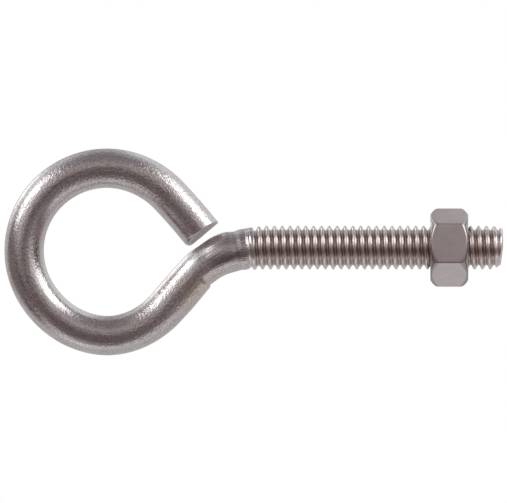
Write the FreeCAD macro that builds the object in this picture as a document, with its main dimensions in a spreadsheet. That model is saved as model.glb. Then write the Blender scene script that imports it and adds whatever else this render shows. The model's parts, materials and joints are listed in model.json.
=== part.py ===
import FreeCAD, Part
import math
import os
import Sketcher

# Eye bolt: a bent and thread-rolled wire with a hex nut on it, in millimetres.
#
# The origin is the centre of the eye. +X runs along the shank towards its point, +Y is square
# to the plane of the eye, and +Z is up in that plane. From its free tail end the wire goes
# round the eye, through the throat bend and up the neck, and bends into the straight shank.
# Angles in the plane of the eye are counted from +X towards +Z.

DRIVING_SIZES = {
    # the wire and its bends
    "wire_dia": 7.1,
    "eye_inner_dia": 22.9,
    "inside_length": 82.55,
    "shank_rise": 0.7,
    "tail_angle": 42.0,
    "tail_length": 9.0,
    "tail_face_tilt": 7.5,
    "eye_arc_end": 259.0,
    "throat_bend_radius": 14.0,
    "neck_angle": 48.7,
    "neck_bend_radius": 13.5,
    # the rolled right-hand thread, 5/16-18 UNC
    "thread_pitch": 1.411111,
    "flank_angle": 30.0,
    "thread_start": 26.1,
    "crest_ramp_length": 3.7,
    "bolt_major_dia": 7.87,
    "bolt_pitch_dia": 6.92,
    "bolt_root_dia": 6.34,
    "top_groove_place": 26.46,
    "point_length": 2.6,
    "point_dia": 6.5,
    # the nut
    "nut_place": 58.0,
    "nut_turn": 7.1,
    "nut_thickness": 6.83,
    "nut_flats": 12.4,
    "nut_edge_round": 0.4,
    "nut_chamfer_dia": 11.8,
    "nut_chamfer_angle": 37.0,
    "nut_minor_dia": 6.6,
    "nut_pitch_dia": 7.14,
    "nut_root_dia": 8.1,
    "countersink_dia": 8.5,
    "countersink_angle": 45.0,
    # how far a cutting tool runs past the metal it cuts
    "tool_overrun": 1.0,
}

SHEET_NAME = "Sizes"
ROOT_POINT = (-1, 1)
ACROSS_AXIS = -1
UP_AXIS = -2
START = 1
END = 2
CENTRE = 3
FULL_TURN = 360
HALF_SIDE_PER_HALF_FLATS = math.tan(math.pi / 6)
NEARLY_PARALLEL = 0.99


class Size:
    """A value and the sheet formula that gives it, so that each size is written only once."""

    def __init__(self, value, formula):
        self.value = value
        self.formula = formula

    def combined(self, sign, other, value):
        right = other.formula if isinstance(other, Size) else str(other)
        return Size(value, "(" + self.formula + " " + sign + " " + right + ")")

    def __add__(self, other):
        return self.combined("+", other, self.value + plain(other))

    def __sub__(self, other):
        return self.combined("-", other, self.value - plain(other))

    def __mul__(self, other):
        return self.combined("*", other, self.value * plain(other))

    def __truediv__(self, other):
        return self.combined("/", other, self.value / plain(other))

    def __neg__(self):
        return self * -1


def plain(amount):
    return amount.value if isinstance(amount, Size) else amount


def size(name):
    return Size(DRIVING_SIZES[name], SHEET_NAME + "." + name)


def tangent(angle):
    return Size(math.tan(math.radians(angle.value)), "tan(" + angle.formula + " * 1 deg)")


def direction(degrees):
    return FreeCAD.Vector(math.cos(math.radians(degrees)), math.sin(math.radians(degrees)), 0)


def fill_sheet(doc):
    sheet = doc.addObject("Spreadsheet::Sheet", SHEET_NAME)
    for row, (name, value) in enumerate(DRIVING_SIZES.items(), start=1):
        sheet.set("A" + str(row), name)
        sheet.set("B" + str(row), str(value))
        sheet.setAlias("B" + str(row), name)
    doc.recompute()


# Sketches


def origin_part(body, role):
    return next(part for part in body.Origin.OriginFeatures if part.Role == role)


def new_sketch(body, name, plane):
    sketch = body.newObject("Sketcher::SketchObject", name)
    sketch.AttachmentSupport = (origin_part(body, plane), [""])
    sketch.MapMode = "FlatFace"
    return sketch


def constrain(sketch, kind, *places):
    sketch.addConstraint(Sketcher.Constraint(kind, *places))


def dimension(sketch, kind, places, length):
    """Add a length, radius or distance and bind it to the sheet."""
    index = sketch.addConstraint(Sketcher.Constraint(kind, *places, length.value))
    sketch.setExpression("Constraints[" + str(index) + "]", length.formula)


def angle_dimension(sketch, geometry, angle):
    """Bind a line's heading, or an arc's span, to the sheet."""
    constraint = Sketcher.Constraint("Angle", geometry, math.radians(angle.value))
    index = sketch.addConstraint(constraint)
    sketch.setExpression("Constraints[" + str(index) + "]", angle.formula + " * 1 deg")


def pin_point(sketch, geometry, point, across, up):
    """Hold a point at its distances from the sketch's origin; None puts it on that axis."""
    if across is None:
        constrain(sketch, "PointOnObject", geometry, point, UP_AXIS)
    else:
        dimension(sketch, "DistanceX", (*ROOT_POINT, geometry, point), across)
    if up is None:
        constrain(sketch, "PointOnObject", geometry, point, ACROSS_AXIS)
    else:
        dimension(sketch, "DistanceY", (*ROOT_POINT, geometry, point), up)


def draw_polygon(sketch, corners):
    """Draw a closed polygon through corners, each held at its own sizes."""
    points = [FreeCAD.Vector(plain(across or 0), plain(up or 0), 0) for across, up in corners]
    first = sketch.GeometryCount
    count = len(points)
    for step in range(count):
        sketch.addGeometry(Part.LineSegment(points[step], points[(step + 1) % count]), False)
    for step, (across, up) in enumerate(corners):
        constrain(sketch, "Coincident", first + step, END, first + (step + 1) % count, START)
        pin_point(sketch, first + step, START, across, up)


def circle_arc(centre, radius, start, end):
    circle = Part.Circle(centre, FreeCAD.Vector(0, 0, 1), radius)
    return Part.ArcOfCircle(circle, math.radians(start), math.radians(end))


# Features shared by both pieces


def add_turned(body, kind, name, sketch):
    """Turn a profile round its sketch's long axis: Revolution adds metal, Groove cuts it."""
    feature = body.newObject("PartDesign::" + kind, name)
    feature.Profile = sketch
    feature.ReferenceAxis = (sketch, ["H_Axis"])
    feature.Angle = FULL_TURN
    return feature


def thread_groove_corners(place, pitch_dia, root_dia, mouth_dia):
    """Corners of a V groove with a flat root; it is half a pitch wide at the pitch diameter."""
    opens_outwards = mouth_dia.value > root_dia.value

    def half_width(dia):
        beyond_pitch = dia - pitch_dia if opens_outwards else pitch_dia - dia
        return size("thread_pitch") / 4 + beyond_pitch / 2 * tangent(size("flank_angle"))

    return [
        (place - half_width(root_dia), root_dia / 2),
        (place + half_width(root_dia), root_dia / 2),
        (place + half_width(mouth_dia), mouth_dia / 2),
        (place - half_width(mouth_dia), mouth_dia / 2),
    ]


def add_thread(body, name, sketch, length):
    """Wind a groove profile along a right-hand helix and cut it out."""
    thread = body.newObject("PartDesign::SubtractiveHelix", name)
    thread.Profile = sketch
    thread.ReferenceAxis = (sketch, ["H_Axis"])
    thread.Mode = "pitch-height-angle"
    thread.LeftHanded = False
    thread.Reversed = False
    thread.setExpression("Pitch", size("thread_pitch").formula)
    thread.setExpression("Height", length.formula)
    return thread


def finish_feature(doc, feature, before=None, cuts=False):
    """Recompute, and stop if the feature failed or did not change the volume the right way."""
    doc.recompute()
    if feature.Shape.isNull() or not feature.Shape.isValid():
        raise RuntimeError(feature.Name + " has no valid shape")
    change = feature.Shape.Volume - (before.Shape.Volume if before else 0)
    if (change < 0) != cuts or change == 0:
        raise RuntimeError(feature.Name + " changed the volume by " + str(change))
    return feature


# The eye bolt


def draw_centreline(body):
    """The wire's centreline from its tail end to the start of the thread, tangent all the way."""
    sketch = new_sketch(body, "centreline", "XZ_Plane")
    eye_radius = (size("eye_inner_dia") + size("wire_dia")) / 2
    throat = size("throat_bend_radius").value
    bend = size("neck_bend_radius").value
    tail = size("tail_angle").value
    eye_end = size("eye_arc_end").value
    neck = size("neck_angle").value
    below_neck = direction(neck - 90)

    eye_start_point = direction(tail) * eye_radius.value
    tail_end = eye_start_point + direction(tail - 90) * size("tail_length").value
    throat_centre = direction(eye_end) * (eye_radius.value - throat)
    neck_start = throat_centre + below_neck * throat
    bend_rise = bend * (1 - direction(neck).x)
    neck_rise = size("shank_rise").value - neck_start.y - bend_rise
    neck_end = neck_start + direction(neck) * (neck_rise / direction(neck).y)
    bend_centre = neck_end + below_neck * bend
    bend_end = bend_centre + FreeCAD.Vector(0, bend, 0)
    thread_start = FreeCAD.Vector(size("thread_start").value, size("shank_rise").value, 0)

    pieces = [
        Part.LineSegment(tail_end, eye_start_point),
        circle_arc(FreeCAD.Vector(0, 0, 0), eye_radius.value, tail, eye_end),
        circle_arc(throat_centre, throat, eye_end, neck + 270),
        Part.LineSegment(neck_start, neck_end),
        circle_arc(bend_centre, bend, 90, 90 + neck),
        Part.LineSegment(bend_end, thread_start),
    ]
    tail_line, eye_arc, throat_arc, neck_line, bend_arc, shank_line = sketch.addGeometry(pieces, False)
    constrain(sketch, "Coincident", eye_arc, CENTRE, *ROOT_POINT)
    constrain(sketch, "Tangent", tail_line, END, eye_arc, START)
    constrain(sketch, "Tangent", eye_arc, END, throat_arc, START)
    constrain(sketch, "Tangent", throat_arc, END, neck_line, START)
    constrain(sketch, "Tangent", neck_line, END, bend_arc, END)
    constrain(sketch, "Tangent", bend_arc, START, shank_line, START)
    constrain(sketch, "Horizontal", shank_line)
    dimension(sketch, "Radius", (eye_arc,), eye_radius)
    dimension(sketch, "Radius", (throat_arc,), size("throat_bend_radius"))
    dimension(sketch, "Radius", (bend_arc,), size("neck_bend_radius"))
    dimension(sketch, "Distance", (tail_line,), size("tail_length"))
    angle_dimension(sketch, tail_line, size("tail_angle") + 90)
    angle_dimension(sketch, eye_arc, size("eye_arc_end") - size("tail_angle"))
    angle_dimension(sketch, neck_line, size("neck_angle"))
    pin_point(sketch, shank_line, END, size("thread_start"), size("shank_rise"))
    return sketch


def draw_wire_section(body):
    """The wire's round section, square to the shank where the thread starts."""
    sketch = new_sketch(body, "wire_section", "YZ_Plane")
    sketch.setExpression("AttachmentOffset.Base.z", size("thread_start").formula)
    radius = size("wire_dia") / 2
    centre = FreeCAD.Vector(0, size("shank_rise").value, 0)
    circle = Part.Circle(centre, FreeCAD.Vector(0, 0, 1), radius.value)
    section = sketch.addGeometry(circle, False)
    pin_point(sketch, section, CENTRE, None, size("shank_rise"))
    dimension(sketch, "Radius", (section,), radius)
    return sketch


def shank_sketch(body, name):
    """A sketch in the plane of the eye whose own long axis is the axis of the shank."""
    sketch = new_sketch(body, name, "XZ_Plane")
    sketch.setExpression("AttachmentOffset.Base.y", size("shank_rise").formula)
    return sketch


def point_place():
    """Distance of the shank's end from the centre of the eye."""
    return size("inside_length") - size("eye_inner_dia") / 2


def draw_thread_blank(body):
    """Metal raised by the rolling: crests rise over a ramp and fall again at the point."""
    sketch = shank_sketch(body, "thread_blank_profile")
    ramp_end = size("thread_start") + size("crest_ramp_length")
    point_start = point_place() - size("point_length")
    corners = [
        (size("thread_start"), None),
        (size("thread_start"), size("wire_dia") / 2),
        (ramp_end, size("bolt_major_dia") / 2),
        (point_start, size("bolt_major_dia") / 2),
        (point_place(), size("point_dia") / 2),
        (point_place(), None),
    ]
    draw_polygon(sketch, corners)
    return sketch


def draw_bolt_groove(body):
    """The thread's groove where it starts, on top of the shank."""
    sketch = shank_sketch(body, "thread_groove_profile")
    mouth_dia = size("bolt_major_dia") + size("tool_overrun") / 2
    corners = thread_groove_corners(
        size("top_groove_place"), size("bolt_pitch_dia"), size("bolt_root_dia"), mouth_dia
    )
    draw_polygon(sketch, corners)
    return sketch


def tail_face_name(shape):
    """The flat face that closes the free end of the wire."""
    heading = direction(size("tail_angle").value - 90)
    outward = FreeCAD.Vector(heading.x, 0, heading.y)
    for number, face in enumerate(shape.Faces, start=1):
        is_flat = isinstance(face.Surface, Part.Plane)
        if is_flat and abs(face.Surface.Axis.dot(outward)) > NEARLY_PARALLEL:
            return "Face" + str(number)
    raise RuntimeError("the wire has no flat tail face")


def build_eye_bolt(doc):
    body = doc.addObject("PartDesign::Body", "eye_bolt")
    section = draw_wire_section(body)
    centreline = draw_centreline(body)
    wire = body.newObject("PartDesign::AdditivePipe", "bent_wire")
    wire.Profile = section
    wire.Spine = centreline
    finish_feature(doc, wire)

    blank = add_turned(body, "Revolution", "thread_blank", draw_thread_blank(body))
    finish_feature(doc, blank, wire)

    length = point_place() - size("top_groove_place") + size("thread_pitch") * 2
    thread = add_thread(body, "rolled_thread", draw_bolt_groove(body), length)
    finish_feature(doc, thread, blank, cuts=True)

    # the shear left the tail's face leaning towards -Y
    tail_face = body.newObject("PartDesign::Draft", "sheared_tail")
    tail_face.Base = (thread, [tail_face_name(thread.Shape)])
    tail_face.NeutralPlane = (origin_part(body, "XZ_Plane"), [""])
    tail_face.PullDirection = (origin_part(body, "Y_Axis"), [""])
    tail_face.Reversed = True
    tail_face.setExpression("Angle", size("tail_face_tilt").formula)
    doc.recompute()
    # the draft only follows its pull direction from its second recompute on
    tail_face.touch()
    finish_feature(doc, tail_face)
    return body


# The hex nut, drawn along its own X axis with its near face at the origin


def draw_hexagon(body):
    sketch = new_sketch(body, "hexagon", "YZ_Plane")
    half_flats = size("nut_flats") / 2
    half_side = half_flats * HALF_SIDE_PER_HALF_FLATS
    corners = [
        (half_flats, -half_side),
        (half_flats, half_side),
        (None, half_side * 2),
        (-half_flats, half_side),
        (-half_flats, -half_side),
        (None, -half_side * 2),
    ]
    draw_polygon(sketch, corners)
    return sketch


def long_edge_names(shape):
    """The six edges between the nut's flats."""
    names = []
    for number, edge in enumerate(shape.Edges, start=1):
        run = edge.Vertexes[-1].Point - edge.Vertexes[0].Point
        if abs(run.x) > NEARLY_PARALLEL * edge.Length:
            names.append("Edge" + str(number))
    return names


def draw_corner_chamfers(body):
    """Profiles that take the hexagon's corners off to a cone at both ends."""
    sketch = new_sketch(body, "corner_chamfer_profile", "XZ_Plane")
    thickness = size("nut_thickness")
    overrun = size("tool_overrun")
    inner = size("nut_chamfer_dia") / 2
    outer = size("nut_flats") * HALF_SIDE_PER_HALF_FLATS + overrun
    depth = (outer - inner) * tangent(size("nut_chamfer_angle"))
    near_end = [(-overrun, inner), (None, inner), (depth, outer), (-overrun, outer)]
    far_end = [
        (thickness + overrun, inner),
        (thickness, inner),
        (thickness - depth, outer),
        (thickness + overrun, outer),
    ]
    draw_polygon(sketch, near_end)
    draw_polygon(sketch, far_end)
    return sketch


def draw_bore(body):
    """The bore at the thread's minor diameter, countersunk at both ends."""
    sketch = new_sketch(body, "bore_profile", "XZ_Plane")
    thickness = size("nut_thickness")
    overrun = size("tool_overrun")
    bore = size("nut_minor_dia") / 2
    mouth = size("countersink_dia") / 2
    depth = (mouth - bore) * tangent(size("countersink_angle"))
    corners = [
        (-overrun, None),
        (-overrun, mouth),
        (None, mouth),
        (depth, bore),
        (thickness - depth, bore),
        (thickness, mouth),
        (thickness + overrun, mouth),
        (thickness + overrun, None),
    ]
    draw_polygon(sketch, corners)
    return sketch


def nut_groove_start():
    """Where the nut's groove starts so that it holds the bolt's ridge; it is ahead of the nut."""
    pitch = size("thread_pitch")
    free_run = size("nut_place") - size("top_groove_place")
    whole_turns = math.floor((free_run / pitch).value) - 2
    turned_back = pitch * size("nut_turn") / FULL_TURN
    return pitch / 2 - turned_back - free_run + pitch * whole_turns


def draw_nut_groove(body):
    sketch = new_sketch(body, "nut_groove_profile", "XZ_Plane")
    mouth_dia = size("nut_minor_dia") - size("tool_overrun")
    corners = thread_groove_corners(
        nut_groove_start(), size("nut_pitch_dia"), size("nut_root_dia"), mouth_dia
    )
    draw_polygon(sketch, corners)
    return sketch


def place_nut(body):
    """Put the nut on the shank, turned so that its flats lean away from +Y."""
    body.Placement = FreeCAD.Placement(
        FreeCAD.Vector(size("nut_place").value, 0, size("shank_rise").value),
        FreeCAD.Rotation(FreeCAD.Vector(1, 0, 0), -size("nut_turn").value),
    )
    body.setExpression("Placement.Base.x", size("nut_place").formula)
    body.setExpression("Placement.Base.z", size("shank_rise").formula)


def build_hex_nut(doc):
    body = doc.addObject("PartDesign::Body", "hex_nut")
    hexagon = draw_hexagon(body)
    block = body.newObject("PartDesign::Pad", "hex_block")
    block.Profile = hexagon
    block.setExpression("Length", size("nut_thickness").formula)
    finish_feature(doc, block)

    rounding = body.newObject("PartDesign::Fillet", "rounded_edges")
    rounding.Base = (block, long_edge_names(block.Shape))
    rounding.setExpression("Radius", size("nut_edge_round").formula)
    finish_feature(doc, rounding, block, cuts=True)

    chamfers = add_turned(body, "Groove", "corner_chamfers", draw_corner_chamfers(body))
    finish_feature(doc, chamfers, rounding, cuts=True)

    bore = add_turned(body, "Groove", "bore", draw_bore(body))
    finish_feature(doc, bore, chamfers, cuts=True)

    length = size("nut_thickness") - nut_groove_start() + size("thread_pitch") * 2
    thread = add_thread(body, "nut_thread", draw_nut_groove(body), length)
    finish_feature(doc, thread, bore, cuts=True)
    place_nut(body)
    return body


def check_document(doc):
    for item in doc.Objects:
        if "Invalid" in item.State or "Error" in item.State:
            raise RuntimeError(item.Label + " did not recompute: " + ", ".join(item.State))


def export_pieces(bodies):
    os.makedirs("parts", exist_ok=True)
    for body in bodies:
        if body.Shape.isNull() or not body.Shape.isValid() or len(body.Shape.Solids) != 1:
            raise RuntimeError(body.Label + " is not one valid solid")
        body.Shape.exportStep("parts/" + body.Label + ".step")
        print(body.Label, "volume", round(body.Shape.Volume, 1), "mm3")


def main():
    doc = FreeCAD.newDocument("EyeBolt")
    fill_sheet(doc)
    bodies = [build_eye_bolt(doc), build_hex_nut(doc)]
    doc.recompute()
    check_document(doc)
    export_pieces(bodies)


main()
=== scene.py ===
import json
import math

import bmesh
import bpy
import numpy as np
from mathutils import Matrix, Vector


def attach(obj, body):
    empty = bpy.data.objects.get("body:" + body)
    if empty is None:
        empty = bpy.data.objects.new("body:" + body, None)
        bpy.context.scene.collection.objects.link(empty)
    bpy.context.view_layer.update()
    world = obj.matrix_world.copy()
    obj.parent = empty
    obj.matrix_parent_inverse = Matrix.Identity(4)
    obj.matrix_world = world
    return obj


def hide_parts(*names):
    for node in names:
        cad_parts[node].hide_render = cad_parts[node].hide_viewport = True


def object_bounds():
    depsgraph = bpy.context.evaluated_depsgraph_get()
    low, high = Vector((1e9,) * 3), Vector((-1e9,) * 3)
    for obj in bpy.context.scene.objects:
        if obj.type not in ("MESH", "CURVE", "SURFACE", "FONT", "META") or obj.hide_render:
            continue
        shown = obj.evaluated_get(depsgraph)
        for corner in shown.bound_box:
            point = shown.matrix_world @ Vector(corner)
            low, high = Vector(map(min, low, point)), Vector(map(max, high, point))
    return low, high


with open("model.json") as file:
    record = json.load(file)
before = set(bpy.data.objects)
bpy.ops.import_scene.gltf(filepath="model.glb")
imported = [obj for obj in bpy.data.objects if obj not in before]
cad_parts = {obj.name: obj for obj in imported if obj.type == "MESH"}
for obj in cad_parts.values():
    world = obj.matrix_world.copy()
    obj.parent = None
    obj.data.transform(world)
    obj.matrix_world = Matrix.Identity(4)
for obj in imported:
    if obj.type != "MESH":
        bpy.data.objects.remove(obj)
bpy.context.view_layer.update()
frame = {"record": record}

# An eye bolt with a hex nut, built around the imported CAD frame. Shapes are worked out in
# millimetres and turned into metres when a mesh is made.
#
# s is the distance along the wire's centreline, from the tail end to the point. theta is the
# angle round the wire, from the left of its heading towards the front (-Y). Left is the inside
# of the eye, and it is +Z on the shank.

MM = 0.001
mounts = {mount["name"]: mount for mount in frame["record"]["mounts"]}

# sizes and places that the frame gives
SHANK_AXIS_Z = mounts["threaded_shank"]["pos_m"][2] / MM
POINT_X = mounts["threaded_shank"]["pos_m"][0] / MM
MAJOR_RADIUS = mounts["threaded_shank"]["dims"]["r_mm"]
WIRE_RADIUS = mounts["eye"]["dims"]["length_mm"] / 2
EYE_RADIUS = mounts["eye"]["dims"]["r_mm"] + WIRE_RADIUS
NUT_NEAR_X = mounts["nut_near_face"]["pos_m"][0] / MM
NUT_FAR_X = mounts["nut_far_face"]["pos_m"][0] / MM

# the wire's centreline, as in the CAD
TAIL_LENGTH = 9.0
TAIL_ANGLE = 42.0
EYE_ARC_END = 259.0
THROAT_RADIUS = 14.0
NECK_ANGLE = 48.7
NECK_BEND_RADIUS = 13.5

# the thread
PITCH = 1.411111
FLANK = math.radians(30)
PITCH_RADIUS = 3.56
ROOT_RADIUS = 3.17
GROOVE_X = 26.46
POINT_LENGTH = 2.6
TABLE_STEPS = 1024

# the bolt's mesh is wound round the wire like the thread
ROWS_PER_TURN = 18
COLUMNS = 96


def smoothstep(low, high, value):
    t = np.clip((value - low) / (high - low), 0, 1)
    return t * t * (3 - 2 * t)


def bell(centre, width, value):
    return np.exp(-(((value - centre) / width) ** 2))


# ---------------------------------------------------------------- the wire's centreline


def unit(degrees):
    return np.array([math.cos(math.radians(degrees)), math.sin(math.radians(degrees))])


def along(point, heading, curvature, distance):
    """Points and headings at distances along an arc or a line."""
    if curvature == 0:
        step = np.stack([np.cos(heading) * distance, np.sin(heading) * distance], -1)
        return point + step, np.full(distance.shape, heading)
    turned = heading + curvature * distance
    step = np.stack([np.sin(turned) - math.sin(heading), math.cos(heading) - np.cos(turned)], -1)
    return point + step / curvature, turned


def centreline_segments():
    """(start s, start point, start heading in radians, curvature) of each part of the wire."""
    eye_start = EYE_RADIUS * unit(TAIL_ANGLE)
    tail_end = eye_start + TAIL_LENGTH * unit(TAIL_ANGLE - 90)
    throat_centre = (EYE_RADIUS - THROAT_RADIUS) * unit(EYE_ARC_END)
    neck_start = throat_centre + THROAT_RADIUS * unit(NECK_ANGLE - 90)
    bend_rise = NECK_BEND_RADIUS * (1 - unit(NECK_ANGLE)[0])
    neck_rise = SHANK_AXIS_Z - neck_start[1] - bend_rise
    lengths = [
        TAIL_LENGTH,
        EYE_RADIUS * math.radians(EYE_ARC_END - TAIL_ANGLE),
        THROAT_RADIUS * math.radians(NECK_ANGLE + 270 - EYE_ARC_END),
        neck_rise / unit(NECK_ANGLE)[1],
        NECK_BEND_RADIUS * math.radians(NECK_ANGLE),
    ]
    curvatures = [0, 1 / EYE_RADIUS, 1 / THROAT_RADIUS, 0, -1 / NECK_BEND_RADIUS, 0]
    segments = []
    s, point, heading = 0.0, tail_end, math.radians(TAIL_ANGLE + 90)
    for length, curvature in zip(lengths + [None], curvatures):
        segments.append((s, point, heading, curvature))
        if length is not None:
            point = along(point, heading, curvature, np.array([length]))[0][0]
            heading += curvature * length
            s += length
    return segments


SEGMENTS = centreline_segments()
S_BEND, S_SHANK = [segment[0] for segment in SEGMENTS[-2:]]
SHANK_X = float(SEGMENTS[-1][1][0])
S_POINT = S_SHANK + POINT_X - SHANK_X


def centreline(s):
    point = np.zeros(s.shape + (2,))
    heading = np.zeros(s.shape)
    for number, (start, origin, first, curvature) in enumerate(SEGMENTS):
        here = s >= start if number else np.full(s.shape, True)
        point[here], heading[here] = along(origin, first, curvature, s[here] - start)
    return point, heading


# ---------------------------------------------------------------- the wire's sides

# steps of averaging that round the thread's roots and crests, as half widths
THREAD_ROUNDING = (0.055, 0.04)

# the rolled metal swells from the plain wire to the full thread: places on the shank, and radii
ROLLING_START_X = 25.0
SWELL_X = [ROLLING_START_X, 25.3, 26.0, 27.0, 29.0]
SWELL_RADIUS = [WIRE_RADIUS, 3.62, 3.78, 3.88, MAJOR_RADIUS + 0.02]

# the point tapers, and a little more on its lower side
POINT_TAPER = 0.62
POINT_TAPER_POWER = 1.6
POINT_TAPER_BELOW = 0.16

# the ring where the rolling dies began
RING_X = 25.12
RING_HALF_LENGTH = 0.13
RING_HEIGHT = 0.13

# the nick that the bending tool left under the neck
NICK_BEFORE_BEND = 0.25
NICK_DEPTH = 0.38
NICK_STEP = 0.22
NICK_FADE = 1.2

# where the bent wire stands off a true round wire: (place along the wire, half length, height)
# of each gentle sway of its centre towards the left of its heading
SWAYS = [
    (-1.0, 4.0, 0.26),
    (13.5, 6.5, 0.13),
    (37.3, 7.0, -0.06),
    (55.5, 6.0, 0.16),
    (69.5, 5.0, -0.14),
    (100.7, 1.0, -0.15),
]
# dents in its left side, at the two ends of the neck's bend and against the first ring
LEFT_DENTS = [
    (92.1, 1.6, -0.21),
    (97.5, 0.8, -0.30),
    (99.1, 0.7, -0.08),
    (100.45, 0.35, -0.10),
]
# metal pushed out on its right side, before the nick and inside the neck's bend
RIGHT_BULGES = [
    (83.5, 4.5, 0.17),
    (96.4, 2.9, 0.30),
    (98.7, 0.8, 0.20),
]


def thread_table():
    """Radius across one pitch, from groove centre to groove centre, with rounded corners."""
    place = (np.arange(TABLE_STEPS) / TABLE_STEPS) * PITCH
    distance = np.minimum(place, PITCH - place)
    root_half = PITCH / 4 + (ROOT_RADIUS - PITCH_RADIUS) * math.tan(FLANK)
    rise = (distance - root_half) / math.tan(FLANK)
    radius = ROOT_RADIUS + np.clip(rise, 0, MAJOR_RADIUS - ROOT_RADIUS)
    for half_width in THREAD_ROUNDING:
        reach = int(half_width / PITCH * TABLE_STEPS)
        kernel = np.ones(2 * reach + 1) / (2 * reach + 1)
        wrapped = np.concatenate([radius[-reach:], radius, radius[:reach]])
        radius = np.convolve(wrapped, kernel, "valid")
    return radius


THREAD_TABLE = thread_table()


def thread_radius(x, theta):
    phase = (x - GROOVE_X) / PITCH - theta / (2 * math.pi)
    place = (phase - np.floor(phase)) * TABLE_STEPS
    low = np.floor(place).astype(int) % TABLE_STEPS
    high = (low + 1) % TABLE_STEPS
    share = place - np.floor(place)
    return THREAD_TABLE[low] * (1 - share) + THREAD_TABLE[high] * share


def blank_radius(x, theta):
    """Outer radius of the rolled metal, which swells at first and tapers at the point."""
    into_point = np.clip((x - (POINT_X - POINT_LENGTH)) / POINT_LENGTH, 0, 1)
    below = smoothstep(0.2, 0.8, into_point) * (1 - np.cos(theta)) / 2
    taper = POINT_TAPER * into_point ** POINT_TAPER_POWER + POINT_TAPER_BELOW * below
    return np.interp(x, SWELL_X, SWELL_RADIUS) - taper


def threaded_surface(x, theta):
    """Radius of the rolled part, and how deep in a groove it is as a share from 0 to 1."""
    blank = blank_radius(x, theta)
    cut = smoothstep(-1.0, -0.05, (x - GROOVE_X) / PITCH)
    depth = blank - np.minimum(thread_radius(x, theta), blank)
    groove = cut * np.clip(depth / (MAJOR_RADIUS - ROOT_RADIUS), 0, 1)
    return blank - cut * depth, groove


def total_of(features, s):
    """Sum of small rises and dents at places along the wire."""
    return sum(height * bell(place, half_length, s) for place, half_length, height in features)


def plain_radius(s, theta):
    """Radius of the bent wire, with its dents, its bulges and the nick under the neck."""
    cosine = np.cos(theta)
    on_left = total_of(LEFT_DENTS, s) * (1 + cosine) / 2
    on_right = total_of(RIGHT_BULGES, s) * (1 - cosine) / 2
    past_nick = s - (S_BEND - NICK_BEFORE_BEND)
    fade = np.exp(-np.clip(past_nick, 0, None) / NICK_FADE)
    nick = NICK_DEPTH * smoothstep(0, NICK_STEP, past_nick) * fade
    return WIRE_RADIUS + on_left + on_right - nick * smoothstep(0.2, 1.0, -cosine)


def side_surface(s, theta):
    """Radius, depth in a groove and share of thread, all along the wire."""
    x = s - S_SHANK + SHANK_X
    threaded, groove = threaded_surface(x, theta)
    share = smoothstep(ROLLING_START_X, ROLLING_START_X + 0.6, x)
    ring = RING_HEIGHT * bell(RING_X, RING_HALF_LENGTH, x)
    radius = plain_radius(s, theta) * (1 - share) + threaded * share + ring
    return radius, share * groove, share


# ---------------------------------------------------------------- the bolt's mesh

# u is the place over the bolt's surface: -WIRE_RADIUS at the middle of the tail's face, 0 at
# that face's rim, S_POINT at the point's rim, and S_POINT + POINT_CAP at the middle of its face
POINT_CAP = 3.5
WINDING_STEPS = 40001

# the mesh climbs this many millimetres a turn at these places, and one pitch a turn in the thread
CLIMB_U = [-3.7, -1.4, -0.9, 0.9, 3.0, 95.0, 98.6, S_POINT + 0.35, S_POINT + 0.8, S_POINT + 4]
CLIMB = [4.0, 3.4, 1.8, 1.8, 6.6, 6.6, PITCH, PITCH, 3.0, 4.0]

# the sheared end of the tail: its rim, and how its face lies and leans
TAIL_RIM = 0.10
TAIL_RIM_INSIDE = 0.90
TAIL_RIM_END = 1.5
TAIL_FACE_S = -0.38
TAIL_TILT = math.tan(math.radians(7.5))
TAIL_SKEW = math.tan(math.radians(1.9))
TAIL_LEAN_END = 7

# the point's face: its broken edge, its lean on the lower side and its slight crown
POINT_RIM = 0.12
POINT_LEAN = 0.50
POINT_CROWN = 0.04
POINT_LEAN_LENGTH = 1.5


def winding():
    """Turns of the winding, and the places over the surface that they reach."""
    u = np.linspace(-WIRE_RADIUS, S_POINT + POINT_CAP, WINDING_STEPS)
    climb = np.interp((u[1:] + u[:-1]) / 2, CLIMB_U, CLIMB)
    turns = np.concatenate([[0], np.cumsum(np.diff(u) / climb)])
    return turns, u


def wound_grid():
    """u and theta of each vertex, by row and column."""
    turns, places = winding()
    rows = int(math.ceil((turns[-1] + 2) * ROWS_PER_TURN)) + 1
    row, column = np.meshgrid(np.arange(rows), np.arange(COLUMNS), indexing="ij")
    turn = row / ROWS_PER_TURN + column / COLUMNS - 1
    return np.interp(turn, turns, places), 2 * math.pi * column / COLUMNS


def with_tail_end(u, theta):
    """s, and the share of the wire's radius, with the tail's rim rounded most inside the eye."""
    rounding = TAIL_RIM + TAIL_RIM_INSIDE * smoothstep(-0.3, 1.0, np.cos(theta))
    over_edge = math.pi / 2 * rounding
    from_centre = u + WIRE_RADIUS
    flat = WIRE_RADIUS - rounding
    turned = np.clip((from_centre - flat) / rounding, 0, math.pi / 2)
    end_radius = np.where(from_centre < flat, from_centre, flat + rounding * np.sin(turned))
    end_s = rounding * (1 - np.cos(turned)) + np.clip(from_centre - flat - over_edge, 0, None)
    shortening = (2 * rounding - over_edge) * (1 - smoothstep(TAIL_RIM_END, 6, u))
    in_end = u < TAIL_RIM_END
    s = np.where(in_end, end_s, np.minimum(u, S_POINT) + shortening)
    return s, np.where(in_end, end_radius / WIRE_RADIUS, 1.0)


def with_point_end(u, s, radius):
    """Radius with the broken edge at the point, closing to nothing over the point's face."""
    broken = POINT_RIM * np.clip(1 - (S_POINT - s) / POINT_RIM, 0, 1) ** 2
    beyond = np.clip(u - S_POINT, 0, None)
    return (radius - broken) * np.clip(1 - beyond / POINT_CAP, 0, 1)


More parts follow.
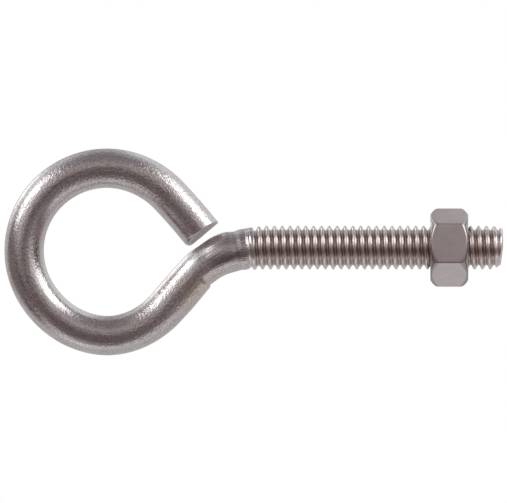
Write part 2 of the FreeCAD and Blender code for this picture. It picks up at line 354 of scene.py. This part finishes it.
def with_leaning_ends(s, radius, theta):
    """s with the lean of the two end faces added."""
    sine = np.sin(theta)
    front = sine + np.sqrt(sine ** 2 + 0.03)
    tail = TAIL_FACE_S + radius * (TAIL_TILT * front + TAIL_SKEW * np.cos(theta))
    below = (1 - np.cos(theta)) / 2
    point = -POINT_LEAN * below * radius / MAJOR_RADIUS - POINT_CROWN * (radius / 3) ** 2
    near_tail = 1 - smoothstep(0, TAIL_LEAN_END, s)
    near_point = smoothstep(S_POINT - POINT_LEAN_LENGTH, S_POINT, s)
    return s + tail * near_tail + point * near_point


def surface_marks(u, theta):
    """How strongly each kind of mark shows, from 0 to 1, for the bolt's material."""
    left = np.cos(theta)
    in_front = smoothstep(0, 0.3, np.sin(theta))
    tail_face = 1 - smoothstep(-0.35, 0.05, u)
    point_face = smoothstep(S_POINT - 0.02, S_POINT + 0.1, u)
    return {
        "cut": np.maximum(tail_face, point_face),
        "stain": bell(86, 3.2, u) * bell(-0.45, 0.35, left) * in_front,
        "rubbed": bell(S_BEND + 2.9, 2.6, u) * smoothstep(0.35, 0.95, left),
        "bent": smoothstep(84, 91, u),
        "scuffed": bell(96, 4.5, u) * bell(-0.28, 0.30, left) * in_front,
        "drawmark": bell(30.5, 8.0, u) * bell(-0.02, 0.075, left) * in_front,
    }


def bolt_vertices():
    """Positions of the bolt's vertices, and the values that its material reads."""
    u, theta = wound_grid()
    side_s, share_of_radius = with_tail_end(u, theta)
    radius, groove, threaded = side_surface(side_s, theta)
    radius = with_point_end(u, side_s, radius * share_of_radius)
    centre, heading = centreline(with_leaning_ends(side_s, radius, theta))
    to_left = np.stack([-np.sin(heading), np.cos(heading)], -1)
    left, front = radius * np.cos(theta), radius * np.sin(theta)
    plane = centre + to_left * (left + total_of(SWAYS, side_s))[..., None]
    position = np.stack([plane[..., 0], -front, plane[..., 1]], -1)
    values = surface_marks(u, theta)
    values["groove"] = groove
    values["threaded"] = threaded
    values["wire_place"] = np.stack([u, left, front], -1)
    return position, values


def wound_faces(rows):
    """Quads of the winding, where each row's end meets the row one turn further on."""
    faces = []
    for row in range(rows - 1):
        first = row * COLUMNS
        for column in range(COLUMNS - 1):
            a = first + column
            faces.append((a, a + COLUMNS, a + COLUMNS + 1, a + 1))
        if row + 1 + ROWS_PER_TURN < rows:
            a = first + COLUMNS - 1
            b = (row + ROWS_PER_TURN) * COLUMNS
            faces.append((a, a + COLUMNS, b + COLUMNS, b))
    return faces


# ---------------------------------------------------------------- the nut's mesh

NUT_TURN = math.radians(7.1)
NUT_FLATS = 12.4
NUT_CHAMFER_RADIUS = 5.9
NUT_CHAMFER = math.tan(math.radians(37))
NUT_MINOR_RADIUS = 3.3
NUT_PITCH_RADIUS = 3.67
NUT_ROOT_RADIUS = 4.10
NUT_BORE_STEPS = 100
COUNTERSINK_RADIUS = 4.25

# roundings: the six upright edges, the countersink's mouth, and the chamfer's two edges
NUT_EDGE_ROUND = 0.45
MOUTH_ROUND = 0.08
CHAMFER_INNER_ROUND = 0.4
CHAMFER_OUTER_ROUND = 1.3


def hexagon_outline():
    """(angle, distance) of points round a hexagon with rounded corners, from one flat's middle."""
    half = NUT_FLATS / 2
    side = half * math.tan(math.pi / 6)
    reach = NUT_EDGE_ROUND * math.tan(math.pi / 6)
    points = []
    for face in range(6):
        across = unit(60 * face)
        along_face = np.array([-across[1], across[0]])
        for place in np.linspace(-(side - reach), side - reach, 17):
            points.append(across * half + along_face * place)
        centre = across * (half - NUT_EDGE_ROUND) + along_face * (side - reach)
        for turn in np.linspace(0, 60, 7)[1:-1]:
            points.append(centre + NUT_EDGE_ROUND * unit(60 * face + turn))
    points = np.array(points)
    return np.arctan2(points[:, 1], points[:, 0]), np.hypot(points[:, 0], points[:, 1])


def rounded_corner(before, corner, after, radius, count):
    """Points of a curve that rounds a corner of a profile."""
    back, ahead = before - corner, after - corner
    back_length, ahead_length = np.linalg.norm(back), np.linalg.norm(ahead)
    cosine = float(back @ ahead / (back_length * ahead_length))
    half_angle = math.acos(max(-1, min(1, cosine))) / 2
    reach = min(radius / math.tan(half_angle), 0.48 * back_length, 0.48 * ahead_length)
    start = corner + back / back_length * reach
    end = corner + ahead / ahead_length * reach
    t = np.linspace(0, 1, count)[:, None]
    return (1 - t) ** 2 * start + 2 * t * (1 - t) * corner + t ** 2 * end


def nut_half_profile(outer):
    """(x, radius) from the countersink's mouth over one end face to the side, at one angle."""
    inside = np.array([0.5, COUNTERSINK_RADIUS - 0.5])
    mouth = np.array([0.0, COUNTERSINK_RADIUS])
    ring = np.array([0.0, NUT_CHAMFER_RADIUS])
    edge = np.array([(outer - NUT_CHAMFER_RADIUS) * NUT_CHAMFER, outer])
    deep = np.array([3.0, outer])
    return np.concatenate([
        rounded_corner(inside, mouth, ring, MOUTH_ROUND, 3),
        rounded_corner(mouth, ring, edge, CHAMFER_INNER_ROUND, 6),
        np.linspace(0.35, 0.65, 2)[:, None] * (edge - ring) + ring,
        rounded_corner(ring, edge, deep, CHAMFER_OUTER_ROUND, 8),
    ])


def nut_bore(x, theta, thickness):
    """Radius of the nut's thread and countersinks, half a pitch out of step with the bolt's."""
    phase = (x + NUT_NEAR_X - GROOVE_X) / PITCH - theta / (2 * math.pi) - 0.5
    place = (phase - np.floor(phase)) * PITCH
    distance = np.minimum(place, PITCH - place)
    root_half = PITCH / 4 + (NUT_PITCH_RADIUS - NUT_ROOT_RADIUS) * math.tan(FLANK)
    fall = (distance - root_half) / math.tan(FLANK)
    thread = NUT_ROOT_RADIUS - np.clip(fall, 0, NUT_ROOT_RADIUS - NUT_MINOR_RADIUS)
    from_face = np.minimum(x, thickness - x)
    return np.maximum(thread, COUNTERSINK_RADIUS - from_face)


def on_chamfer(profile, outer):
    """Share of each profile point that lies on the turned cone of the chamfer, where the nut gets
    painted shade.
    """
    radius = profile[:, 1]
    cone = smoothstep(NUT_CHAMFER_RADIUS - 0.1, NUT_CHAMFER_RADIUS + 0.1, radius)
    return cone * (radius < outer - 0.004)


def nut_vertices():
    """Rings of vertices, one for each angle round the nut, and the share of turned chamfer, which
    gets painted shade.
    """
    thickness = NUT_FAR_X - NUT_NEAR_X
    bore_x = np.linspace(thickness, 0, NUT_BORE_STEPS)[1:-1]
    rings = []
    turned = []
    for angle, outer in zip(*hexagon_outline()):
        # up is the angle from the front towards +Z; theta goes from +Z towards the front
        up = NUT_TURN + angle
        near = nut_half_profile(outer)
        far = near[::-1] * np.array([-1, 1]) + np.array([thickness, 0])
        bore = np.stack([bore_x, nut_bore(bore_x, math.pi / 2 - up, thickness)], -1)
        x, radius = np.concatenate([near, far, bore]).T
        y = -radius * math.cos(up)
        z = radius * math.sin(up)
        rings.append(np.stack([x + NUT_NEAR_X, y, z + SHANK_AXIS_Z], -1))
        # the chamfer share, which the material darkens with painted shade
        cone = on_chamfer(near, outer)
        turned.append(np.concatenate([cone, cone[::-1], 0 * bore_x]))
    return np.array(rings), {"turned": np.array(turned)}


def ring_faces(rings, count):
    """Quads between each ring and the next, closed both ways."""
    faces = []
    for ring in range(rings):
        here = ring * count
        there = (ring + 1) % rings * count
        for step in range(count):
            forward = (step + 1) % count
            faces.append((here + step, here + forward, there + forward, there + step))
    return faces


# ---------------------------------------------------------------- mesh objects


def add_attribute(mesh, name, values):
    is_vector = values.ndim > 2
    attribute = mesh.attributes.new(name, "FLOAT_VECTOR" if is_vector else "FLOAT", "POINT")
    field = "vector" if is_vector else "value"
    attribute.data.foreach_set(field, values.astype(np.float32).ravel())


def clean(mesh):
    """Join vertices that share a place, drop loose ones and turn every face outwards."""
    bm = bmesh.new()
    bm.from_mesh(mesh)
    bmesh.ops.remove_doubles(bm, verts=bm.verts, dist=2e-7)
    loose = [vertex for vertex in bm.verts if not vertex.link_faces]
    bmesh.ops.delete(bm, geom=loose, context="VERTS")
    bmesh.ops.recalc_face_normals(bm, faces=bm.faces)
    bm.to_mesh(mesh)
    bm.free()


def make_object(name, positions, faces, values, material):
    mesh = bpy.data.meshes.new(name)
    mesh.from_pydata((positions.reshape(-1, 3) * MM).tolist(), [], faces)
    for key in values:
        add_attribute(mesh, key, values[key])
    clean(mesh)
    mesh.shade_smooth()
    mesh.materials.append(material)
    piece = bpy.data.objects.new(name, mesh)
    bpy.context.scene.collection.objects.link(piece)
    return piece


# ---------------------------------------------------------------- node trees


class Nodes:
    """Short calls for building a node tree."""

    def __init__(self, tree):
        self.tree = tree

    def add(self, kind, **settings):
        node = self.tree.nodes.new(kind)
        for key, value in settings.items():
            setattr(node, key, value)
        return node

    def link(self, source, target):
        self.tree.links.new(source, target)

    def feed(self, socket, value):
        """Link a socket, or set it to a plain value."""
        if isinstance(value, bpy.types.NodeSocket):
            self.link(value, socket)
        else:
            socket.default_value = value

    def math(self, operation, a, b, clamp=False):
        node = self.add("ShaderNodeMath", operation=operation, use_clamp=clamp)
        self.feed(node.inputs[0], a)
        self.feed(node.inputs[1], b)
        return node.outputs[0]

    def times(self, a, b):
        return self.math("MULTIPLY", a, b)

    def spread(self, value, low, high, new_low=0.0, new_high=1.0):
        """Value from low to high turned smoothly into new_low to new_high."""
        node = self.add("ShaderNodeMapRange", interpolation_type="SMOOTHSTEP")
        for socket, number in zip(node.inputs, (value, low, high, new_low, new_high)):
            self.feed(socket, number)
        return node.outputs[0]

    def noise(self, vector, scale, detail, roughness):
        node = self.add("ShaderNodeTexNoise")
        self.link(vector, node.inputs["Vector"])
        node.inputs["Scale"].default_value = scale
        node.inputs["Detail"].default_value = detail
        node.inputs["Roughness"].default_value = roughness
        return node.outputs["Fac"]

    def mix(self, share, a, b, blend="MIX"):
        node = self.add("ShaderNodeMix", data_type="RGBA", blend_type=blend)
        self.feed(node.inputs[0], share)
        self.feed(node.inputs[6], a)
        self.feed(node.inputs[7], b)
        return node.outputs[2]

    def scaled(self, colour, factor):
        node = self.add("ShaderNodeVectorMath", operation="SCALE")
        self.link(colour, node.inputs[0])
        self.link(factor, node.inputs["Scale"])
        return node.outputs[0]

    def attribute(self, name, output="Fac"):
        node = self.add("ShaderNodeAttribute", attribute_name=name)
        return node.outputs[output]

    def stretched(self, vector, scale):
        node = self.add("ShaderNodeMapping")
        self.link(vector, node.inputs["Vector"])
        node.inputs["Scale"].default_value = scale
        return node.outputs["Vector"]

    def millimetres(self):
        """The object's own coordinates, in millimetres."""
        coordinates = self.add("ShaderNodeTexCoord")
        return self.stretched(coordinates.outputs["Object"], (1 / MM, 1 / MM, 1 / MM))

    def bump(self, height, depth_mm, strength=1.0, normal=None):
        node = self.add("ShaderNodeBump")
        self.feed(node.inputs["Height"], height)
        node.inputs["Distance"].default_value = depth_mm * MM
        self.feed(node.inputs["Strength"], strength)
        if normal is not None:
            self.link(normal, node.inputs["Normal"])
        return node.outputs["Normal"]


def new_metal(name):
    material = bpy.data.materials.new(name)
    material.use_nodes = True
    material.node_tree.nodes.clear()
    nodes = Nodes(material.node_tree)
    shader = nodes.add("ShaderNodeBsdfPrincipled")
    output = nodes.add("ShaderNodeOutputMaterial")
    nodes.link(shader.outputs[0], output.inputs[0])
    shader.inputs["Metallic"].default_value = 1.0
    return material, nodes, shader


# ---------------------------------------------------------------- materials

WIRE_LIGHT = (0.66, 0.575, 0.58, 1)
WIRE_DARK = (0.62, 0.53, 0.52, 1)
STAIN_BROWN = (0.68, 0.53, 0.43, 1)
SCUFF_BROWN = (0.30, 0.24, 0.225, 1)
DRAWMARK_BROWN = (0.22, 0.165, 0.155, 1)
RUBBED_STEEL = (0.80, 0.74, 0.73, 1)
THREAD_STEEL = (0.77, 0.665, 0.64, 1)
# the dark brown that the deepest parts of the thread's grooves turn to
GROOVE_BOTTOM_BROWN = (0.27, 0.19, 0.15, 1)
SHEARED_LIGHT = (0.60, 0.545, 0.535, 1)
SHEARED_DARK = (0.47, 0.40, 0.385, 1)
NUT_LIGHT = (0.705, 0.605, 0.605, 1)
NUT_DARK = (0.67, 0.57, 0.565, 1)
# painted shade: the darker colour given to the turned chamfers
NUT_CHAMFER_SHADE = (0.36, 0.31, 0.30, 1)
FLOOR_COLOUR = (0.95, 0.905, 0.90, 1)
WHITE = (1, 1, 1, 1)

# how far the wire's noises are squeezed along it and round it
GRAIN_STRETCH = (0.8, 1, 1)
DRAWN_STRETCH = (0.08, 1, 1)
ROLLED_STRETCH = (1, 0.1, 0.1)

# depths of the bumps, in millimetres
DRAWN_DEPTH = 0.12
GRAIN_DEPTH = 0.085
FINE_DEPTH = 0.014
ROLLED_DEPTH = 0.008
NUT_GRAIN_DEPTH = 0.0008
NUT_MOTTLE_DEPTH = 0.02


def bolt_colour(n, places, drawn, plain):
    """Mottled steel with its stain, scuffs, marks, grooves darker towards their bottoms, and
    sheared end faces.
    """
    mottle = n.noise(places, scale=0.22, detail=3.0, roughness=0.55)
    pepper = n.noise(places, scale=4.4, detail=2.0, roughness=0.65)
    colour = n.mix(n.spread(mottle, 0.38, 0.62), WIRE_LIGHT, WIRE_DARK)
    colour = n.mix(n.times(n.attribute("stain"), 0.8), colour, STAIN_BROWN)
    scuffs = n.times(n.attribute("scuffed"), n.spread(drawn, 0.40, 0.62, 0.1, 0.9))
    colour = n.mix(scuffs, colour, SCUFF_BROWN)
    marks = n.times(n.attribute("drawmark"), n.spread(drawn, 0.35, 0.6, 0.45, 0.9))
    colour = n.mix(marks, colour, DRAWMARK_BROWN)
    colour = n.mix(n.attribute("rubbed"), colour, RUBBED_STEEL)
    dots = n.spread(pepper, 0.34, 0.66, 0.76, 1.20)
    colour = n.mix(plain, colour, n.scaled(colour, dots))
    colour = n.mix(n.times(n.attribute("threaded"), 0.7), colour, THREAD_STEEL)
    # darker and browner towards the bottom of each groove
    deep_groove_share = n.times(n.spread(n.attribute("groove"), 0.35, 0.95), 0.50)
    colour = n.mix(deep_groove_share, colour, GROOVE_BOTTOM_BROWN)
    sheared = n.mix(n.spread(pepper, 0.36, 0.64), SHEARED_LIGHT, SHEARED_DARK)
    return n.mix(n.attribute("cut"), colour, sheared)


def bolt_roughness(n, grain):
    """Rougher where it was cut or rubbed, and smoother on the rolled thread."""
    rough = n.spread(grain, 0.3, 0.7, 0.13, 0.22)
    rough = n.math("ADD", rough, n.times(n.attribute("cut"), 0.22))
    rough = n.math("ADD", rough, n.times(n.attribute("rubbed"), 0.24))
    return n.math("SUBTRACT", rough, n.times(n.attribute("threaded"), 0.055))


def bolt_normal(n, places, drawn, grain, plain):
    """Streaks of the drawing, a patchy grain on the plain wire and fine lines on the thread."""
    patches = n.noise(places, scale=0.11, detail=2.0, roughness=0.5)
    fine = n.noise(places, scale=5.5, detail=1.0, roughness=0.5)
    rolled = n.noise(n.stretched(places, ROLLED_STRETCH), scale=8.0, detail=2.0, roughness=0.6)
    bent = n.attribute("bent")
    coarse = n.times(plain, n.spread(patches, 0.38, 0.62, 0.5, 1.05))
    coarse = n.times(coarse, n.math("SUBTRACT", 1.0, n.times(bent, 0.55)))
    streaks = n.times(plain, n.math("ADD", 0.3, n.times(bent, 0.7)))
    normal = n.bump(drawn, DRAWN_DEPTH, streaks)
    normal = n.bump(grain, GRAIN_DEPTH, coarse, normal)
    normal = n.bump(fine, FINE_DEPTH, coarse, normal)
    return n.bump(rolled, ROLLED_DEPTH, n.attribute("threaded"), normal)


def bolt_material():
    """Pickled wire with a coarse grain; the rolled thread is smoother and darker towards the
    bottoms of its grooves.
    """
    material, n, shader = new_metal("bolt_steel")
    places = n.attribute("wire_place", "Vector")
    plain = n.math("SUBTRACT", 1.0, n.attribute("threaded"), clamp=True)
    grain = n.noise(n.stretched(places, GRAIN_STRETCH), scale=2.7, detail=2.0, roughness=0.55)
    drawn = n.noise(n.stretched(places, DRAWN_STRETCH), scale=1.9, detail=2.0, roughness=0.6)
    metallic = n.math("SUBTRACT", 1.0, n.times(n.attribute("cut"), 0.5))
    n.link(bolt_colour(n, places, drawn, plain), shader.inputs["Base Color"])
    n.link(metallic, shader.inputs["Metallic"])
    n.link(bolt_roughness(n, grain), shader.inputs["Roughness"])
    n.link(bolt_normal(n, places, drawn, grain, plain), shader.inputs["Normal"])
    return material


def nut_material():
    """Satin steel with soft mottling, with painted shade on the turned chamfers."""
    material, n, shader = new_metal("nut_steel")
    places = n.millimetres()
    mottle = n.noise(places, scale=0.5, detail=3.0, roughness=0.55)
    grain = n.noise(places, scale=5.0, detail=3.0, roughness=0.6)
    tone = n.mix(n.spread(mottle, 0.35, 0.65), NUT_LIGHT, NUT_DARK)
    # painted shade darkens the turned chamfers and their edges
    tone = n.mix(n.times(n.attribute("turned"), 0.75), tone, NUT_CHAMFER_SHADE)
    normal = n.bump(mottle, NUT_MOTTLE_DEPTH, normal=n.bump(grain, NUT_GRAIN_DEPTH))
    n.link(tone, shader.inputs["Base Color"])
    n.link(n.spread(grain, 0.3, 0.7, 0.25, 0.29), shader.inputs["Roughness"])
    n.link(normal, shader.inputs["Normal"])
    return material


def floor_material():
    material = bpy.data.materials.new("pale_floor")
    material.use_nodes = True
    shader = material.node_tree.nodes["Principled BSDF"]
    shader.inputs["Base Color"].default_value = FLOOR_COLOUR
    shader.inputs["Roughness"].default_value = 0.8
    shader.inputs["Emission Color"].default_value = WHITE
    shader.inputs["Emission Strength"].default_value = 0.28
    return material


# ---------------------------------------------------------------- the pieces


def add_piece(name, shape, faces, material, body, node):
    """Make a visible piece, ride it on its body and hide the CAD node that it replaces."""
    positions, values = shape
    piece = make_object(name, positions, faces, values, material)
    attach(piece, body)
    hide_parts(node)


def add_bolt():
    shape = bolt_vertices()
    faces = wound_faces(shape[0].shape[0])
    add_piece("eye_bolt_steel", shape, faces, bolt_material(), "bolt", "eye_bolt")


def add_nut():
    shape = nut_vertices()
    faces = ring_faces(*shape[0].shape[:2])
    add_piece("hex_nut_steel", shape, faces, nut_material(), "nut", "hex_nut")


# ---------------------------------------------------------------- floor, light and camera

FLOOR_GAP = 0.0005
FLOOR_HALF = 3.0
CAMERA_DISTANCE = 2.0
CAMERA_MARGIN = 1.0165
CAMERA_LEFT = 0.00005

# The studio is a pale tent. Each card adds light to it or takes light away: azimuth and polar
# angle of its middle, half angles of its even part and of its outer edge, and its level.
TENT = 0.95
DARKEST = 0.03
CARDS = {
    "key softbox, upper left": (145, 70, 10, 22, 2.1),
    "key softbox, upper right": (35, 70, 10, 25, 2.0),
    "rim light behind, upper left": (145, 135, 5, 15, 1.5),
    "glow of the backdrop, upper right": (45, 130, 10, 40, 0.3),
    "kicker behind the eye": (120, 130, 5, 20, 0.3),
    "dark ceiling between the softboxes": (90, 65, 10, 60, -0.7),
    "dark ceiling towards the back": (105, 120, 5, 35, -0.3),
    "dark room behind the camera": (265, 25, 15, 60, -0.8),
    "dark wall on the left": (185, 80, 15, 50, -0.75),
    "dark edge, lower left": (225, 85, 5, 20, -0.4),
    "dark wall on the right": (345, 65, 10, 30, -0.65),
    "dark edge beside the right softbox": (10, 75, 5, 20, -0.8),
    "shade of the table, at the back": (310, 155, 65, 90, -0.35),
}

# the tent's colour is warmer in its dark parts, cooler in its bright ones and overhead
DARK_TINT = (1.12, 0.957, 0.96, 1)
BRIGHT_TINT = (0.945, 1.033, 1.035, 1)
OVERHEAD_TINT = (0.93, 1.0, 1.07, 1)
OVERHEAD = (90, 90, 15, 50, 1.0)


def add_floor(below):
    floor_z = below - FLOOR_GAP
    corners = [(-FLOOR_HALF, -FLOOR_HALF), (FLOOR_HALF, -FLOOR_HALF),
               (FLOOR_HALF, FLOOR_HALF), (-FLOOR_HALF, FLOOR_HALF)]
    mesh = bpy.data.meshes.new("floor")
    mesh.from_pydata([(x, y, floor_z) for x, y in corners], [], [(0, 1, 2, 3)])
    mesh.materials.append(floor_material())
    floor = bpy.data.objects.new("floor", mesh)
    bpy.context.scene.collection.objects.link(floor)
    floor.visible_glossy = False


def card(n, direction, azimuth, polar, even, edge, level):
    """Light from one side: polar is the angle from -Y, azimuth is counted from +X towards +Z."""
    across, height = unit(azimuth) * math.sin(math.radians(polar))
    dot = n.add("ShaderNodeVectorMath", operation="DOT_PRODUCT")
    n.link(direction, dot.inputs[0])
    dot.inputs[1].default_value = (across, -math.cos(math.radians(polar)), height)
    low, high = math.cos(math.radians(edge)), math.cos(math.radians(even))
    return n.spread(dot.outputs["Value"], low, high, 0.0, level)


def tent_light(n):
    """The studio that the object reflects."""
    direction = n.add("ShaderNodeTexCoord").outputs["Generated"]
    total = TENT
    for settings in CARDS.values():
        total = n.math("ADD", total, card(n, direction, *settings))
    total = n.math("MAXIMUM", total, DARKEST)
    tint = n.mix(n.spread(total, -0.1, 0.85), DARK_TINT, BRIGHT_TINT)
    tint = n.mix(card(n, direction, *OVERHEAD), tint, OVERHEAD_TINT, "MULTIPLY")
    room = n.add("ShaderNodeBackground")
    n.link(total, room.inputs["Strength"])
    n.link(tint, room.inputs["Color"])
    return room


def light_world():
    """The tent lights the object, and the camera sees plain white behind it."""
    world = bpy.data.worlds.new("studio")
    world.use_nodes = True
    world.node_tree.nodes.clear()
    n = Nodes(world.node_tree)
    seen = n.add("ShaderNodeBackground")
    seen.inputs["Color"].default_value = WHITE
    seen.inputs["Strength"].default_value = 1.0
    mix = n.add("ShaderNodeMixShader")
    n.link(n.add("ShaderNodeLightPath").outputs["Is Camera Ray"], mix.inputs[0])
    n.link(tent_light(n).outputs[0], mix.inputs[1])
    n.link(seen.outputs[0], mix.inputs[2])
    n.link(mix.outputs[0], n.add("ShaderNodeOutputWorld").inputs[0])
    bpy.context.scene.world = world


def add_camera(low, high):
    """Look straight at the eye's plane, level with the eye's centre, as in the photograph."""
    data = bpy.data.cameras.new("camera")
    data.type = "ORTHO"
    data.ortho_scale = (high.x - low.x) * CAMERA_MARGIN
    data.clip_start = 0.01
    data.clip_end = 10
    camera = bpy.data.objects.new("camera", data)
    camera.location = ((low.x + high.x) / 2 - CAMERA_LEFT, low.y - CAMERA_DISTANCE, 0)
    camera.rotation_euler = (math.pi / 2, 0, 0)
    bpy.context.scene.collection.objects.link(camera)
    bpy.context.scene.camera = camera
    bpy.context.scene.view_settings.view_transform = "Standard"


add_bolt()
add_nut()
low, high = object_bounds()
add_floor(low.z)
light_world()
add_camera(low, high)
